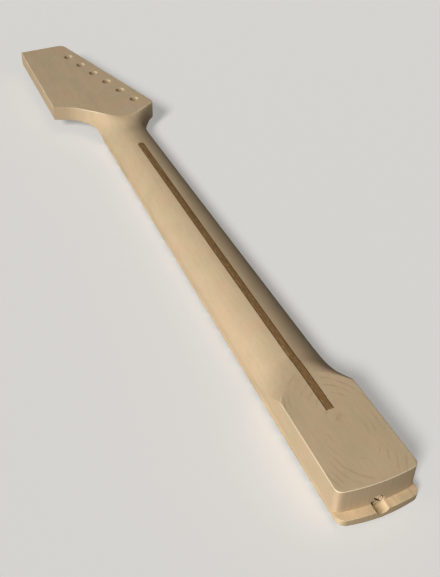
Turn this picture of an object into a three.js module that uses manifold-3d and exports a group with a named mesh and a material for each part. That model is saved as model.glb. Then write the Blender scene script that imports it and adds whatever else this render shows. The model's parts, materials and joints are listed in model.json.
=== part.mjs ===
// Bolt-on electric guitar neck with an uncut headstock blank, lying on its frets.
// Millimetres. +X runs towards the headstock tip, +Y towards the treble side and +Z out of the
// back. The origin is on the flat back of the heel, the face that seats in a guitar body.
import * as THREE from 'three';
import { mergeVertices } from 'three/addons/utils/BufferGeometryUtils.js';
import Module from 'manifold-3d';

const wasm = await Module();
wasm.setup();

// Strings and frets
const SCALE_LENGTH = 647.7;
const FRET_COUNT = 22;
const FRETS_PER_OCTAVE = 12;
const STRING_COUNT = 6;

// Plan of the neck and heel
const NUT_WIDTH = 42;
const HEEL_WIDTH = 56;
const ORIGIN_TO_HEEL_END = 38.1;
const TONGUE_LENGTH = 6.5;
const BOARD_PAST_LAST_FRET = 4.6;
const HEEL_END_RADIUS = 151;
const HEEL_CORNER_RADIUS = 5;
const TONGUE_CORNER_RADIUS = 6;

// Depths, all measured square to the back of the heel
const HEEL_DEPTH = 25.4;
const BOARD_THICKNESS = 6.35;
const BOARD_RADIUS = 241.3;
const NECK_DEPTH_AT_NUT = 21.9;
const NECK_DEPTH_AT_HEEL = 25.3;
const HEADSTOCK_THICKNESS = 14.1;

// Rounded back of the neck, and where it climbs into the heel and the headstock
const PROFILE_EXPONENT = 1.85;
const SIDE_ALLOWANCE = 0.1;
const HEEL_RISE_FROM_END = 115;
const HEEL_RISE_RADIUS = 48.5;
const HEEL_FLARE_FROM_END = 126;
const HEEL_FLARE_RADIUS = 155;
const HEAD_RISE_BEFORE_NUT = 11.3;
const HEAD_RISE_RADIUS = 34;
const HEAD_FLARE_RADIUS = 37.7;
const HEAD_SKEW_SHARE = 0.2;
const BLEND_DEPTH = 4;
const BLEND_OVERSHOOT = 0.03;
const SWEEP_ANGLE = THREE.MathUtils.degToRad(80);

// Headstock blank, measured from the nut line and the centre line
const WING_EDGE_OFFSET = 58.5;
const END_EDGE_ANGLE = THREE.MathUtils.degToRad(3.7);
const TUNER_EDGE_ANGLE = THREE.MathUtils.degToRad(16.8);
const TUNER_EDGE_MARGIN = 12.4;
const TIP_PAST_LAST_TUNER = 32.6;
const TREBLE_CURVE_RADIUS = 45.7;
const TREBLE_CURVE_START = 2.5;
const BASS_CURVE_RADIUS = 23;
const BASS_CURVE_START = 0;
const BASS_SHOULDER_RADIUS = 11;
const TIP_CORNER_RADIUS = 8;
const FACE_SWEEP_RUN = 25;

// Tuner holes
const TUNER_HOLE_DIAMETER = 8.7;
const TUNER_PITCH = 24.6;
const FIRST_TUNER_FROM_NUT = 38.2;
const FIRST_TUNER_OFFSET = 21.3;
const TUNER_ROW_ANGLE = THREE.MathUtils.degToRad(16.54);

// Frets
const FRET_CROWN_WIDTH = 2.4;
const FRET_CROWN_HEIGHT = 1.15;
const FRET_TANG_THICKNESS = 0.5;
const FRET_TANG_DEPTH = 1.5;
const FRET_SLOT_WIDTH = 0.6;
const FRET_SLOT_DEPTH = 1.8;
const FRET_SLOT_END_WALL = 1.5;
const FRET_END_INSET = 0.15;
const FRET_BEVEL_WIDTH = 0.75;
const FRET_BEVEL_END_SHARE = 0.12;

// String nut
const STRING_NUT_THICKNESS = 3.3;
const STRING_NUT_HEIGHT = 1.9;
const NUT_SLOT_DEPTH = 3.4;
const NUT_SHOULDER_RADIUS = 1.9;
const STRING_SPAN = 35;
const STRING_NOTCH_WIDTH = 1;
const STRING_NOTCH_DEPTH = 0.7;
const BOARD_PAST_NUT = 2.7;

// Position dots
const FACE_DOT_DIAMETER = 6.35;
const FACE_DOT_DEPTH = 1.5;
const DOUBLE_DOT_SPACING = 24;
const SIDE_DOT_DIAMETER = 2;
const SIDE_DOT_DEPTH = 3;
const SINGLE_DOT_FRETS = [3, 5, 7, 9, 15, 17, 19, 21];
const DOUBLE_DOT_FRET = 12;
const SIDE_DOT_PAIR_SPACING = 8;

// Truss rod, let in from the back under a filler stripe
const ROD_DIAMETER = 4.8;
const ROD_DEPTH_AT_HEEL = 17.5;
const ROD_DEPTH_AT_HEAD = 11.7;
const ROD_HEAD_TILT = THREE.MathUtils.degToRad(10);
const ROD_HEEL_LEAD = 110;
const ROD_HEAD_LEAD = 40;
const STRIPE_WIDTH = 5.8;
const STRIPE_HEAD_FROM_NUT = 41;
const STRIPE_HEEL_FROM_END = 61;
const ACCESS_DIAMETER = 9.5;
const ROD_NUT_DIAMETER = 7.9;
const ROD_NUT_LENGTH = 14;
const ROD_NUT_RECESS = 0.6;
const ROD_NUT_CHAMFER = 0.5;
const ROD_NUT_END_WALL = 4;
const DRIVER_SLOT_WIDTH = 1;
const DRIVER_SLOT_DEPTH = 2.2;
const DRIVER_SLOT_ANGLE = THREE.MathUtils.degToRad(45);
const WASHER_DIAMETER = 8.6;
const WASHER_THICKNESS = 1.2;
const PLUG_DIAMETER = 8;
const ANCHOR_LENGTH = 9;
const ANCHOR_FROM_NUT = 16;

// Clearances and counts
const FIT_GAP = 0.1;
const SLIDE_GAP = 0.3;
const OVERRUN = 2;
const PROFILE_STEPS = 36;
const SWEEP_STEPS = 16;
const STATION_SPACING = 0.8;
const CORNER_STEPS = 8;
const ROUND_STEPS = 24;
const BOARD_FACETS = 10;
const CROWN_STEPS = 4;
const ROD_STEPS = 16;
const ROD_SIDES = 12;

// Places worked out from the sizes above
const HEEL_END_X = -ORIGIN_TO_HEEL_END;
const BOARD_END_X = HEEL_END_X - TONGUE_LENGTH;
const NUT_X = BOARD_END_X + BOARD_PAST_LAST_FRET + fretDistance(FRET_COUNT);
const FACE_SWEEP_X = NUT_X + STRING_NUT_THICKNESS + BOARD_PAST_NUT;
const BOARD_TOP_Z = -HEEL_DEPTH;
const GLUE_Z = BOARD_TOP_Z + BOARD_THICKNESS;
const HEAD_FACE_Z = -HEADSTOCK_THICKNESS;
const TIP_X = tunerPlace(STRING_COUNT - 1).x + TIP_PAST_LAST_TUNER;
const ROD_RADIUS = ROD_DIAMETER / 2;
const ROD_PASSAGE_RADIUS = ROD_RADIUS + SLIDE_GAP;
const ROD_HEEL_Z = -ROD_DEPTH_AT_HEEL;
const ROD_NUT_X = HEEL_END_X + ROD_NUT_RECESS;
const WASHER_X = ROD_NUT_X + ROD_NUT_LENGTH + FIT_GAP;
const ACCESS_BOTTOM_X = WASHER_X + WASHER_THICKNESS + FIT_GAP;
const ROD_NUT_BORE_RADIUS = ROD_RADIUS + FIT_GAP;

const maple = finish(0xd8bd92, 0.55, 0);
const boardMaple = finish(0xdcc096, 0.5, 0);
const walnut = finish(0x7a5c40, 0.6, 0);
const nickelSilver = finish(0xc9c6bd, 0.3, 1);
const bone = finish(0xece3cd, 0.4, 0);
const blackPlastic = finish(0x161616, 0.35, 0);
const rodSteel = finish(0x8d9094, 0.45, 1);
const platedSteel = finish(0xb9bcc0, 0.35, 1);

function finish(color, roughness, metalness) {
  return new THREE.MeshStandardMaterial({ color, roughness, metalness });
}

// Distance from the nut to a fret, by equal temperament
function fretDistance(fret) {
  return SCALE_LENGTH * (1 - 2 ** (-fret / FRETS_PER_OCTAVE));
}

function fretX(fret) {
  return NUT_X - fretDistance(fret);
}

// Half the width of the tapered neck at x
function halfWidth(x) {
  const share = (NUT_X - x) / (NUT_X - HEEL_END_X);
  return THREE.MathUtils.lerp(NUT_WIDTH, HEEL_WIDTH, share) / 2;
}

// How far an arc that starts level has climbed after a run
function arcRise(run, radius) {
  return run > 0 ? radius - Math.sqrt(radius ** 2 - run ** 2) : 0;
}

// Closed solids from closed three.js geometries, and back
function solid(geometry) {
  const bare = geometry.clone();
  bare.deleteAttribute('normal');
  bare.deleteAttribute('uv');
  const merged = mergeVertices(bare);
  const vertProperties = new Float32Array(merged.attributes.position.array);
  const triVerts = new Uint32Array(merged.index.array);
  return new wasm.Manifold(new wasm.Mesh({ numProp: 3, vertProperties, triVerts }));
}

function surface(body) {
  const { numProp, vertProperties, triVerts } = body.getMesh();
  const geometry = new THREE.BufferGeometry();
  geometry.setAttribute('position', new THREE.BufferAttribute(vertProperties, numProp));
  geometry.setIndex(new THREE.BufferAttribute(triVerts, 1));
  geometry.computeVertexNormals();
  return geometry;
}

function piece(name, body, material) {
  const mesh = new THREE.Mesh(surface(body), material);
  mesh.name = name;
  return mesh;
}

function cut(body, cutters) {
  return cutters.reduce((left, cutter) => left.subtract(cutter), body);
}

// An outline drawn in plan, pushed up from one height to another
function planSlab(shape, low, high) {
  const geometry = new THREE.ExtrudeGeometry(shape, {
    depth: high - low,
    bevelEnabled: false,
    curveSegments: CORNER_STEPS,
  });
  return solid(geometry.translate(0, 0, low));
}

// An outline drawn in side view, as x and z, pushed across the neck
function sideSlab(points, right, left) {
  const shape = new THREE.Shape(points);
  const geometry = new THREE.ExtrudeGeometry(shape, { depth: left - right, bevelEnabled: false });
  geometry.rotateX(Math.PI / 2);
  return solid(geometry.translate(0, left, 0));
}

// An outline drawn in cross-section, as y and z, pushed along the neck
function sectionSlab(points, start, end) {
  const shape = new THREE.Shape(points);
  const geometry = new THREE.ExtrudeGeometry(shape, { depth: end - start, bevelEnabled: false });
  const alongNeck = new THREE.Matrix4().makeBasis(
    new THREE.Vector3(0, 1, 0),
    new THREE.Vector3(0, 0, 1),
    new THREE.Vector3(1, 0, 0),
  );
  geometry.applyMatrix4(alongNeck);
  return solid(geometry.translate(start, 0, 0));
}

function roundBar(radius, length, steps = ROUND_STEPS) {
  return new THREE.CylinderGeometry(radius, radius, length, steps);
}

// A round bar along the neck from one x to another
function barAlong(radius, start, end, z) {
  const bar = roundBar(radius, end - start);
  bar.rotateZ(-Math.PI / 2);
  return solid(bar.translate((start + end) / 2, 0, z));
}

// A round bar square to the back, such as a drilled hole
function barDown(radius, low, high, x, y) {
  const bar = roundBar(radius, high - low);
  bar.rotateX(Math.PI / 2);
  return solid(bar.translate(x, y, (low + high) / 2));
}

// A closed skin over rings of points that all have the same count
function loft(rings) {
  const count = rings[0].length;
  const points = rings.flat();
  const positions = points.flatMap((point) => [point.x, point.y, point.z]);
  const index = [];
  for (let ring = 0; ring + 1 < rings.length; ring += 1) {
    for (let i = 0; i < count; i += 1) {
      const a = ring * count + i;
      const b = ring * count + (i + 1) % count;
      const c = a + count;
      const d = b + count;
      if (points[b].distanceTo(points[c]) <= points[a].distanceTo(points[d])) index.push(a, b, c, b, d, c);
      else index.push(a, b, d, a, d, c);
    }
  }
  const last = (rings.length - 1) * count;
  for (let i = 1; i + 1 < count; i += 1) {
    index.push(0, i + 1, i, last, last + i, last + i + 1);
  }
  const geometry = new THREE.BufferGeometry();
  geometry.setAttribute('position', new THREE.Float32BufferAttribute(positions, 3));
  geometry.setIndex(index);
  return geometry;
}

// Points on an arc, both ends included
function arcPoints(centreX, centreY, radius, start, end, steps) {
  return Array.from({ length: steps + 1 }, (_, i) => {
    const angle = THREE.MathUtils.lerp(start, end, i / steps);
    return new THREE.Vector2(
      centreX + radius * Math.cos(angle),
      centreY + radius * Math.sin(angle),
    );
  });
}

// A fillet in the corner at b between the lines to a and c
function cornerPoints(a, b, c, radius) {
  const toA = a.clone().sub(b).normalize();
  const toC = c.clone().sub(b).normalize();
  const halfAngle = Math.acos(toA.dot(toC)) / 2;
  const middle = toA.clone().add(toC).normalize();
  const centre = middle.multiplyScalar(radius / Math.sin(halfAngle)).add(b);
  const start = toA.multiplyScalar(radius / Math.tan(halfAngle)).add(b).sub(centre).angle();
  const end = toC.multiplyScalar(radius / Math.tan(halfAngle)).add(b).sub(centre).angle();
  const turn = THREE.MathUtils.euclideanModulo(end - start + Math.PI, 2 * Math.PI) - Math.PI;
  return arcPoints(centre.x, centre.y, radius, start, start + turn, CORNER_STEPS);
}

// The curved end of the heel or the board, from the bass side to the treble side
function endCurve(endX, cornerRadius) {
  const half = halfWidth(endX);
  const swing = Math.asin(half / HEEL_END_RADIUS);
  const centreX = endX + HEEL_END_RADIUS;
  const curve = arcPoints(centreX, 0, HEEL_END_RADIUS, Math.PI + swing, Math.PI - swing, 2 * CORNER_STEPS);
  const bass = curve[0];
  const treble = curve[curve.length - 1];
  const bassSide = new THREE.Vector2(NUT_X, -halfWidth(NUT_X));
  const trebleSide = new THREE.Vector2(NUT_X, halfWidth(NUT_X));
  const bassCorner = cornerPoints(bassSide, bass, curve[1], cornerRadius);
  const trebleCorner = cornerPoints(curve[curve.length - 2], treble, trebleSide, cornerRadius);
  const firstY = bassCorner[bassCorner.length - 1].y;
  const inner = curve.filter((point) => Math.abs(point.y) < Math.abs(firstY));
  return [...bassCorner, ...inner, ...trebleCorner];
}

// Where a tuner hole is in plan, counted from the nut
function tunerPlace(index) {
  return new THREE.Vector2(
    NUT_X + FIRST_TUNER_FROM_NUT + index * TUNER_PITCH * Math.cos(TUNER_ROW_ANGLE),
    index * TUNER_PITCH * Math.sin(TUNER_ROW_ANGLE) - FIRST_TUNER_OFFSET,
  );
}

// The tuner edge: a point on it beside the first tuner, its direction and the way into the wood
function tunerEdge() {
  const along = new THREE.Vector2(Math.cos(TUNER_EDGE_ANGLE), Math.sin(TUNER_EDGE_ANGLE));
  const inward = new THREE.Vector2(-along.y, along.x);
  return { point: tunerPlace(0).addScaledVector(inward, -TUNER_EDGE_MARGIN), along, inward };
}

// The bass side of the headstock: a hollow curve, then a round shoulder that meets the tuner edge
function bassShoulder() {
  const { point, along, inward } = tunerEdge();
  const hollow = new THREE.Vector2(NUT_X + BASS_CURVE_START, -halfWidth(NUT_X) - BASS_CURVE_RADIUS);
  const centre = point.addScaledVector(inward, BASS_SHOULDER_RADIUS);
  const toHollow = hollow.clone().sub(centre);
  const reach = BASS_CURVE_RADIUS + BASS_SHOULDER_RADIUS;
  centre.addScaledVector(along, toHollow.dot(along) + Math.sqrt(reach ** 2 - toHollow.dot(inward) ** 2));
  const join = centre.clone().sub(hollow).angle();
  const edge = inward.clone().negate().angle();
  const curve = arcPoints(hollow.x, hollow.y, BASS_CURVE_RADIUS, Math.PI / 2, join, CORNER_STEPS);
  const round = arcPoints(centre.x, centre.y, BASS_SHOULDER_RADIUS, join + Math.PI, edge, CORNER_STEPS);
  return [...curve, ...round.slice(1)];
}

// The treble side: a hollow curve that runs out into the long wing edge
function trebleCurve() {
  const centreY = halfWidth(NUT_X) + TREBLE_CURVE_RADIUS;
  const end = Math.asin((WING_EDGE_OFFSET - centreY) / TREBLE_CURVE_RADIUS);
  const centreX = NUT_X + TREBLE_CURVE_START;
  return arcPoints(centreX, centreY, TREBLE_CURVE_RADIUS, end, -Math.PI / 2, 2 * CORNER_STEPS);
}

// Plan of the whole neck from a given end of the heel or the board
function neckOutline(endX, cornerRadius) {
  const shoulder = bassShoulder();
  const { point, along } = tunerEdge();
  const tip = point.addScaledVector(along, (TIP_X - point.x) / along.x);
  const endDrop = (WING_EDGE_OFFSET - tip.y) * Math.tan(END_EDGE_ANGLE);
  const wingEnd = new THREE.Vector2(TIP_X - endDrop, WING_EDGE_OFFSET);
  const tipCorner = cornerPoints(shoulder[shoulder.length - 1], tip, wingEnd, TIP_CORNER_RADIUS);
  const heel = endCurve(endX, cornerRadius);
  return new THREE.Shape([...heel.reverse(), ...shoulder, ...tipCorner, wingEnd, ...trebleCurve()]);
}

// A height held under the flat back, so that the rounded back runs out into it without an edge
function heldUnder(z, blend) {
  if (blend <= 0) return z;
  const overlap = Math.max(blend - Math.abs(z - BLEND_OVERSHOOT), 0);
  return Math.min(z, BLEND_OVERSHOOT) - overlap ** 2 / (4 * blend);
}

// Where the rounded back of this height meets the flat back, as an angle up from its side
function creaseAngle(height, blend) {
  const meeting = BLEND_OVERSHOOT + blend - 2 * Math.sqrt(blend * BLEND_OVERSHOOT);
  const up = Math.min((meeting - GLUE_Z) / height, 1);
  return Math.min(Math.asin(up ** (PROFILE_EXPONENT / 2)), Math.PI / 2 - Math.PI / PROFILE_STEPS);
}

// The angles of a cross-section's points: even up to the meeting line on each side, one between
function ringAngles(crease) {
  const steps = PROFILE_STEPS / 2 - 1;
  const rising = Array.from({ length: steps + 1 }, (_, i) => crease * i / steps);
  const falling = rising.map((angle) => Math.PI - angle).reverse();
  return [...rising, Math.PI / 2, ...falling];
}

// One cross-section of the rounded back, leaning forward on the treble side by the skew
function backRing(x, skewShare, half, height, blend) {
  const ring = [];
  const baseZ = BOARD_TOP_Z - OVERRUN;
  for (const angle of ringAngles(creaseAngle(height, blend))) {
    const across = Math.abs(Math.cos(angle)) ** (2 / PROFILE_EXPONENT) * Math.sign(Math.cos(angle));
    const up = Math.sin(angle) ** (2 / PROFILE_EXPONENT);
    ring.push({ y: half * across, z: heldUnder(GLUE_Z + height * up, blend) });
  }
  ring.push({ y: -half, z: baseZ }, { y: half, z: baseZ });
  return ring.map(({ y, z }) => new THREE.Vector3(x + skewShare * y, y, z));
}

// Height of the rounded back over the glue line, without the rises at its ends
function shaftHeight(x) {
  const share = (NUT_X - x) / (NUT_X - HEEL_END_X);
  return THREE.MathUtils.lerp(NECK_DEPTH_AT_NUT, NECK_DEPTH_AT_HEEL, share) - BOARD_THICKNESS;
}

// The sweeps that open the back out at its ends: where each starts, which way it runs, its radius
function backSweeps() {
  return {
    heelRise: { start: HEEL_END_X + HEEL_RISE_FROM_END, way: -1, radius: HEEL_RISE_RADIUS },
    heelFlare: { start: HEEL_END_X + HEEL_FLARE_FROM_END, way: -1, radius: HEEL_FLARE_RADIUS },
    headRise: { start: NUT_X - HEAD_RISE_BEFORE_NUT, way: 1, radius: HEAD_RISE_RADIUS },
    headFlare: { start: NUT_X, way: 1, radius: HEAD_FLARE_RADIUS },
  };
}

// How far a sweep has climbed at x: along its arc, then straight on
function sweepRise({ start, way, radius }, x) {
  const run = way * (x - start);
  const arcRun = radius * Math.sin(SWEEP_ANGLE);
  if (run < arcRun) return arcRise(run, radius);
  return arcRise(arcRun, radius) + (run - arcRun) * Math.tan(SWEEP_ANGLE);
}

// Places along the neck where the back has a cross-section
function backStations() {
  const low = BOARD_END_X - OVERRUN;
  const high = TIP_X + WING_EDGE_OFFSET;
  const stations = Object.values(backSweeps()).flatMap(({ start, way, radius }) => {
    return Array.from({ length: SWEEP_STEPS + 1 }, (_, i) => {
      return start + way * radius * Math.sin(SWEEP_ANGLE * i / SWEEP_STEPS);
    });
  });
  const inside = stations.filter((x) => x > low + STATION_SPACING && x < high - STATION_SPACING);
  inside.sort((a, b) => a - b);
  const spaced = inside.filter((x, i) => i === 0 || x - inside[i - 1] > STATION_SPACING);
  return [low, ...spaced, high];
}

// The space under the hand-shaped back, swept up and out at the heel and at the headstock
function backForm() {
  const { heelRise, heelFlare, headRise, headFlare } = backSweeps();
  const rings = backStations().map((x) => {
    const rise = sweepRise(heelRise, x) + sweepRise(headRise, x);
    const flare = sweepRise(heelFlare, x) + sweepRise(headFlare, x);
    const skew = THREE.MathUtils.smoothstep(x, headRise.start, NUT_X + HEAD_FLARE_RADIUS / 2);
    const half = halfWidth(x) + SIDE_ALLOWANCE + flare;
    const blend = Math.min(BLEND_DEPTH, rise);
    return backRing(x, HEAD_SKEW_SHARE * skew, half, shaftHeight(x) + rise, blend);
  });
  return solid(loft(rings));
}

// The shaped wood before any slot or hole is cut
function shapedNeck() {
  const outline = neckOutline(HEEL_END_X, HEEL_CORNER_RADIUS);
  return planSlab(outline, GLUE_Z, 0).intersect(backForm());
}

// The wood in front of the face, with the hollow curve that drops from the board to the headstock
function faceWaste() {
  const step = HEAD_FACE_Z - BOARD_TOP_Z;
  const radius = (FACE_SWEEP_RUN ** 2 + step ** 2) / (2 * step);
  const swing = Math.asin(FACE_SWEEP_RUN / radius);
  const centreX = FACE_SWEEP_X + FACE_SWEEP_RUN;
  const centreZ = HEAD_FACE_Z - radius;
  const sweep = arcPoints(centreX, centreZ, radius, Math.PI / 2, Math.PI / 2 + swing, CORNER_STEPS);
  const below = BOARD_TOP_Z - OVERRUN;
  const past = TIP_X + OVERRUN;
  const points = [
    new THREE.Vector2(FACE_SWEEP_X, below),
    new THREE.Vector2(past, below),
    new THREE.Vector2(past, HEAD_FACE_Z),
    ...sweep,
  ];
  return sideSlab(points, -WING_EDGE_OFFSET - OVERRUN, WING_EDGE_OFFSET + OVERRUN);
}

function tunerHoles() {
  return Array.from({ length: STRING_COUNT }, (_, i) => {
    const { x, y } = tunerPlace(i);
    return barDown(TUNER_HOLE_DIAMETER / 2, HEAD_FACE_Z - OVERRUN, OVERRUN, x, y);
  });
}

// A point on the straight line that the rod's head end leans along, counted from the anchor's seat
function onSeatLine(distance) {
  return new THREE.Vector3(
    NUT_X - ANCHOR_FROM_NUT + distance * Math.cos(ROD_HEAD_TILT),
    0,
    -ROD_DEPTH_AT_HEAD - distance * Math.sin(ROD_HEAD_TILT),
  );
}

// The rod's middle line between its straight ends, bowed towards the back
function rodLine() {
  const start = new THREE.Vector3(ACCESS_BOTTOM_X + OVERRUN, 0, ROD_HEEL_Z);
  const heelLead = new THREE.Vector3(start.x + ROD_HEEL_LEAD, 0, start.z);
  return new THREE.CubicBezierCurve3(start, heelLead, onSeatLine(-ROD_HEAD_LEAD), onSeatLine(-OVERRUN));
}

// A round bar that follows the rod's middle line, with a straight lead past each end
function barOnRodLine(radius, heelEndX, headLead) {
  const line = rodLine();
  const stops = Array.from({ length: ROD_STEPS + 1 }, (_, i) => {
    return { point: line.getPoint(i / ROD_STEPS), along: line.getTangent(i / ROD_STEPS) };
  });
  stops.unshift({ point: new THREE.Vector3(heelEndX, 0, ROD_HEEL_Z), along: line.getTangent(0) });
  stops.push({ point: onSeatLine(headLead), along: line.getTangent(1) });
  const rings = stops.map(({ point, along }) => {
    const up = new THREE.Vector3(-along.z, 0, along.x);
    return Array.from({ length: ROD_SIDES }, (_, side) => {
      const angle = 2 * Math.PI * side / ROD_SIDES;
      const ringPoint = point.clone().addScaledVector(up, radius * Math.sin(angle));
      ringPoint.y += radius * Math.cos(angle);
      return ringPoint;
    });
  });
  return solid(loft(rings));
}

// A bar that leans with the rod's head end, from the anchor's seat towards the face
function barOnPlugLine(radius, start, end) {
  const seatX = NUT_X - ANCHOR_FROM_NUT;
  const bar = roundBar(radius, end - start);
  bar.rotateZ(-Math.PI / 2);
  bar.translate((start + end) / 2, 0, 0);
  bar.rotateY(ROD_HEAD_TILT);
  return solid(bar.translate(seatX, 0, -ROD_DEPTH_AT_HEAD));
}

function rodPassage() {
  return barOnRodLine(ROD_PASSAGE_RADIUS, ACCESS_BOTTOM_X - OVERRUN, OVERRUN);
}

// The slot or the filler over the rod: its floor follows the rod, its head end is round
function stripeBody(width, floorGap, endGap) {
  const headX = NUT_X - STRIPE_HEAD_FROM_NUT - endGap;
  const heelX = HEEL_END_X + STRIPE_HEEL_FROM_END + endGap;
  const floor = rodLine().getPoints(ROD_STEPS).map((point) => {
    return new THREE.Vector2(point.x, point.z + floorGap);
  });
  const points = [
    ...floor,
    new THREE.Vector2(NUT_X, OVERRUN),
    new THREE.Vector2(heelX - OVERRUN, OVERRUN),
  ];
  const wall = sideSlab(points, -width, width);
  const roundCentreX = headX - width / 2;
  const plan = new THREE.Shape([
    new THREE.Vector2(heelX, -width / 2),
    ...arcPoints(roundCentreX, 0, width / 2, -Math.PI / 2, Math.PI / 2, ROUND_STEPS / 2),
    new THREE.Vector2(heelX, width / 2),
  ]);
  return wall.intersect(planSlab(plan, GLUE_Z, OVERRUN));
}

// Room for the adjusting nut and its tool, open through the tongue
function accessBore() {
  return barAlong(ACCESS_DIAMETER / 2, BOARD_END_X - OVERRUN, ACCESS_BOTTOM_X, ROD_HEEL_Z);
}

function plugLength() {
  return FACE_SWEEP_X + FACE_SWEEP_RUN + HEEL_DEPTH - NUT_X + ANCHOR_FROM_NUT;
}

function neckShaft() {
  const body = cut(shapedNeck(), [
    faceWaste(),
    ...tunerHoles(),
    stripeBody(STRIPE_WIDTH, 0, 0),
    rodPassage(),
    accessBore(),
    barOnPlugLine(PLUG_DIAMETER / 2, 0, plugLength()),
  ]);
  return piece('neck_shaft', body, maple);
}

function backStripe() {
  const filler = stripeBody(STRIPE_WIDTH - 2 * FIT_GAP, ROD_PASSAGE_RADIUS, FIT_GAP);
  return piece('back_stripe', filler.intersect(shapedNeck()), walnut);
}

function headstockPlug() {
  const start = ANCHOR_LENGTH + 2 * FIT_GAP;
  const bar = barOnPlugLine(PLUG_DIAMETER / 2 - FIT_GAP, start, plugLength());
  const body = bar.intersect(shapedNeck()).subtract(faceWaste());
  return piece('headstock_plug', body, walnut);
}

function trussRod() {
  const rodEnd = ANCHOR_LENGTH / 2;
  const bar = barOnRodLine(ROD_RADIUS, ROD_NUT_X + ROD_NUT_END_WALL + FIT_GAP, rodEnd);
  return piece('truss_rod', bar, rodSteel);
}

function trussRodAnchor() {
  const block = barOnPlugLine(PLUG_DIAMETER / 2 - FIT_GAP, FIT_GAP, ANCHOR_LENGTH + FIT_GAP);
  const seat = barOnPlugLine(ROD_RADIUS + FIT_GAP, -OVERRUN, ANCHOR_LENGTH / 2 + FIT_GAP);
  return piece('truss_rod_anchor', block.subtract(seat), rodSteel);
}

function trussRodWasher() {
  const disc = barAlong(WASHER_DIAMETER / 2, WASHER_X, WASHER_X + WASHER_THICKNESS, ROD_HEEL_Z);
  const hole = barAlong(ROD_PASSAGE_RADIUS, WASHER_X - OVERRUN, ACCESS_BOTTOM_X + OVERRUN, ROD_HEEL_Z);
  return piece('truss_rod_washer', disc.subtract(hole), platedSteel);
}

// A round nut with a crossed slot in its outer end and a blind thread for the rod
function trussRodNut() {
  const radius = ROD_NUT_DIAMETER / 2;
  const profile = [
    new THREE.Vector2(0, 0),
    new THREE.Vector2(radius - ROD_NUT_CHAMFER, 0),
    new THREE.Vector2(radius, ROD_NUT_CHAMFER),
    new THREE.Vector2(radius, ROD_NUT_LENGTH),
    new THREE.Vector2(ROD_NUT_BORE_RADIUS, ROD_NUT_LENGTH),
    new THREE.Vector2(ROD_NUT_BORE_RADIUS, ROD_NUT_END_WALL),
    new THREE.Vector2(0, ROD_NUT_END_WALL),
  ];
  const turned = new THREE.LatheGeometry(profile, ROUND_STEPS);
  turned.rotateZ(-Math.PI / 2);
  const body = solid(turned.translate(ROD_NUT_X, 0, ROD_HEEL_Z));
  const depth = DRIVER_SLOT_DEPTH + OVERRUN;
  const slotX = ROD_NUT_X + (DRIVER_SLOT_DEPTH - OVERRUN) / 2;
  const flat = new THREE.BoxGeometry(depth, 2 * radius + OVERRUN, DRIVER_SLOT_WIDTH);
  const upright = new THREE.BoxGeometry(depth, DRIVER_SLOT_WIDTH, 2 * radius + OVERRUN);
  const slots = [flat, upright].map((slot) => {
    return solid(slot.rotateX(DRIVER_SLOT_ANGLE).translate(slotX, 0, ROD_HEEL_Z));
  });
  return piece('truss_rod_nut', cut(body, slots), platedSteel);
}

// Height of the board's faceted crown at y, and the places of its facet edges
function facetY(index) {
  const reach = HEEL_WIDTH / 2 + OVERRUN;
  return reach * (2 * index / BOARD_FACETS - 1);
}

function crownZ(y) {
  const share = (facetY(BOARD_FACETS) + y) / (2 * facetY(BOARD_FACETS)) * BOARD_FACETS;
  const index = THREE.MathUtils.clamp(Math.floor(share), 0, BOARD_FACETS - 1);
  const [low, high] = [facetY(index), facetY(index + 1)].map((edge) => {
    return BOARD_TOP_Z + arcRise(Math.abs(edge), BOARD_RADIUS);
  });
  return THREE.MathUtils.lerp(low, high, share - index);
}

// Facet edges between two ends, with the ends themselves
function facetsBetween(low, high) {
  const edges = Array.from({ length: BOARD_FACETS + 1 }, (_, i) => facetY(i));
  return [low, ...edges.filter((y) => y > low + FIT_GAP && y < high - FIT_GAP), high];
}

// A bar across the board that follows its crown; each profile point is an x and a height
function barAcross(x, profile, places) {
  const rings = places.map(({ y, topShare }) => profile.map(([along, height]) => {
    const lifted = height > FIT_GAP ? FIT_GAP + (height - FIT_GAP) * topShare : height;
    return new THREE.Vector3(x + along, y, crownZ(y) - lifted);
  }));
  return solid(loft(rings));
}

// Half the width of the board at x, drawn in where its end is rounded
function boardHalf(x) {
  const curve = endCurve(BOARD_END_X, TONGUE_CORNER_RADIUS);
  const next = curve.findIndex((point) => point.y > 0 && point.x > x);
  if (next < 0) return halfWidth(x);
  return THREE.MathUtils.mapLinear(x, curve[next - 1].x, curve[next].x, curve[next - 1].y, curve[next].y);
}

function fretPlaces(x) {
  const half = boardHalf(x - FRET_CROWN_WIDTH / 2) - FRET_END_INSET;
  const full = facetsBetween(FRET_BEVEL_WIDTH - half, half - FRET_BEVEL_WIDTH);
  return [
    { y: -half, topShare: FRET_BEVEL_END_SHARE },
    ...full.map((y) => ({ y, topShare: 1 })),
    { y: half, topShare: FRET_BEVEL_END_SHARE },
  ];
}

// The slots stop short of the board's sides, and so do the tangs in them
function slotReach(x) {
  return boardHalf(x - FRET_CROWN_WIDTH / 2) - FRET_SLOT_END_WALL;
}

function tangBar(x, thickness, depth, top, reach) {
  const half = thickness / 2;
  const places = facetsBetween(-reach, reach).map((y) => ({ y, topShare: 1 }));
  return barAcross(x, [[half, -depth], [half, top], [-half, top], [-half, -depth]], places);
}

function fretSlot(x) {
  return tangBar(x, FRET_SLOT_WIDTH, FRET_SLOT_DEPTH, OVERRUN, slotReach(x));
}

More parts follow.
